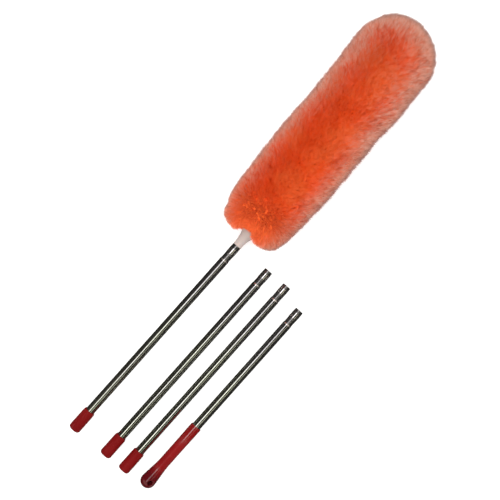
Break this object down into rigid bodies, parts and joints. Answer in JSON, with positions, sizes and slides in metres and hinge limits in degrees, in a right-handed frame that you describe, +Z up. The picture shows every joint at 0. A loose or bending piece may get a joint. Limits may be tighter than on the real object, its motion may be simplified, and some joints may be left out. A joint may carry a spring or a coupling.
{
  "type": "feather duster with sectional pole",
  "caption": "Long-pile fluffy duster head on a chrome pole section, laid out beside loose screw-together pole sections and a gripped handle section.",
  "frame": {"origin": "on the floor, in the middle of the bounding box of the laid-out set", "axes": "+X along the poles towards the head, +Y from the loose sections towards the duster, +Z up from the floor"},
  "size_m": [1.0606, 0.3011, 0.1785],
  "materials": {
    "chrome": "polished",
    "red_plastic": "satin",
    "grip_plastic": "gloss",
    "ivory_plastic": "satin",
    "pile": "matte",
    "backing": "matte",
    "cord": "matte",
    "core_plastic": "satin",
    "nylon": "satin",
    "steel": "satin"
  },
  "bodies": {
    "section_1": {"section_1_tube": "chrome", "section_1_insert": "nylon", "section_1_socket": "red_plastic", "section_1_plug": "nylon", "section_1_stud": "steel"},
    "head_screw": {"ferrule_stud": "steel"},
    "head": {"ferrule": "ivory_plastic", "ferrule_pin": "steel", "core_tube": "core_plastic", "core_tip_cap": "core_plastic", "backing_sleeve": "backing", "neck_tie": "cord", "pile_cover": "pile"},
    "section_2": {"section_2_tube": "chrome", "section_2_insert": "nylon", "section_2_socket": "red_plastic", "section_2_plug": "nylon", "section_2_stud": "steel"},
    "section_3": {"section_3_tube": "chrome", "section_3_insert": "nylon", "section_3_socket": "red_plastic", "section_3_plug": "nylon", "section_3_stud": "steel"},
    "handle": {"handle_tube": "chrome", "handle_insert": "nylon", "handle_grip": "grip_plastic"}
  },
  "joints": [
    {"name": "head_unscrew_travel", "type": "slide", "parent": "section_1", "child": "head_screw", "axis": [0.9965, 0, 0.0837], "range_m": [0, 0.018]},
    {"name": "head_unscrew_turn", "type": "hinge", "parent": "head_screw", "child": "head", "pos_m": [-0.03128, 0.0467, 0.05394], "axis": [0.9965, 0, 0.0837], "range_deg": [0, 2160]},
    {"name": "section_2_lift", "type": "slide", "parent": "section_1", "child": "section_2", "axis": [0, 0, 1], "range_m": [0, 0.25]},
    {"name": "section_3_lift", "type": "slide", "parent": "section_1", "child": "section_3", "axis": [0, 0, 1], "range_m": [0, 0.25]},
    {"name": "handle_lift", "type": "slide", "parent": "section_1", "child": "handle", "axis": [0, 0, 1], "range_m": [0, 0.25]}
  ],
  "couplings": [
    {"joint": "head_unscrew_travel", "follows": "head_unscrew_turn", "m_per_rad": 0.00047746}
  ]
}
